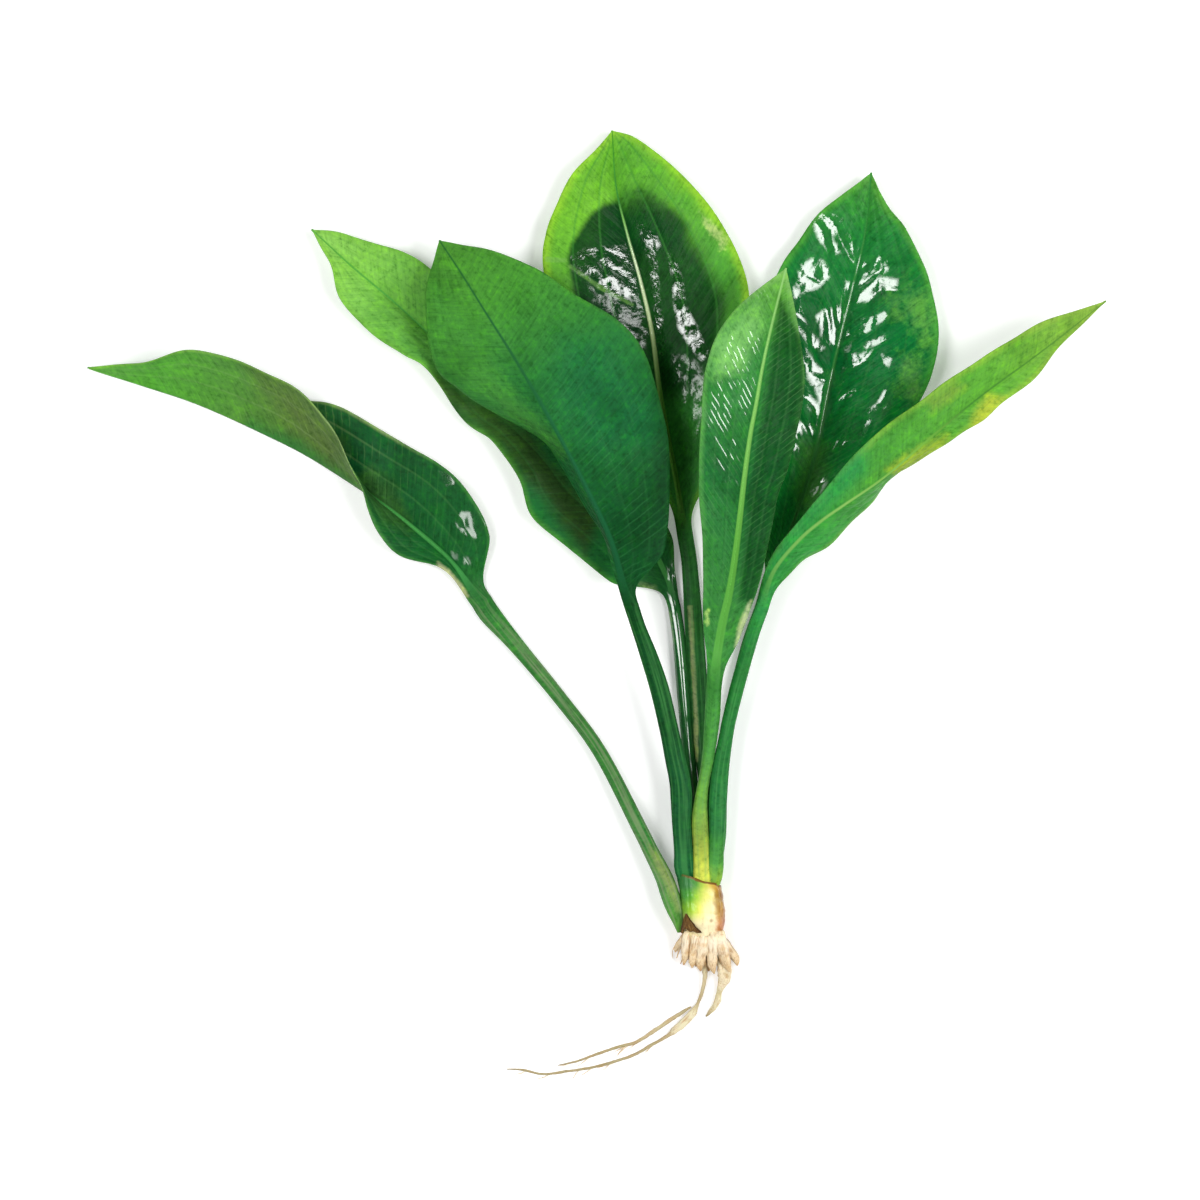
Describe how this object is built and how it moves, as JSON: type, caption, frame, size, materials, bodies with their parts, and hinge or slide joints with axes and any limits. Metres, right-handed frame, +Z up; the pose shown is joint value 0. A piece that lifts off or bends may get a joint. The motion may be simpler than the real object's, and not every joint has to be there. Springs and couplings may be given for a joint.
{
  "type": "amazon sword plant",
  "caption": "Bare-root aquarium sword plant: broad stalked leaves rise from one crown with short and trailing roots; it lies on its back on a flat surface.",
  "frame": {"origin": "in the flat patch under the crown, on the surface that the plant lies on", "axes": "+Y along the petioles towards the leaf tips, +X to the plant's right as the picture shows it, +Z up from the surface"},
  "size_m": [0.3054, 0.2834, 0.0345],
  "materials": {
    "leaf_deep_green": "glossy dark green leaf with fine parallel veins and a lighter rim",
    "leaf_matt_green": "satin mid green leaf with fine side veins and a pale midrib",
    "leaf_yellow_green": "glossy yellow-green leaf, darker inside, with yellow stains at the rim",
    "crown": "satin cream and yellow-green flesh with brown stains",
    "dry_husk": "dry matt brown fibre",
    "root_thick": "satin cream root, pinkish, with brown ends",
    "root_thin": "satin pale brown root"
  },
  "bodies": {
    "root": {"leaf_far_left": "leaf_deep_green", "leaf_back_left": "leaf_deep_green", "leaf_front_left": "leaf_matt_green", "leaf_centre_back": "leaf_yellow_green", "leaf_front_centre": "leaf_matt_green", "leaf_back_right": "leaf_deep_green", "leaf_low_right": "leaf_yellow_green", "crown": "crown", "dry_scale": "dry_husk", "root_short_01": "root_thick", "root_short_02": "root_thick", "root_short_03": "root_thick", "root_short_04": "root_thick", "root_short_05": "root_thick", "root_short_06": "root_thick", "root_short_07": "root_thick", "root_short_08": "root_thick", "root_short_09": "root_thick", "root_short_10": "root_thick", "root_short_11": "root_thick", "root_long_left": "root_thin", "root_branch_left": "root_thin", "root_long_right": "root_thin"}
  },
  "joints": []
}
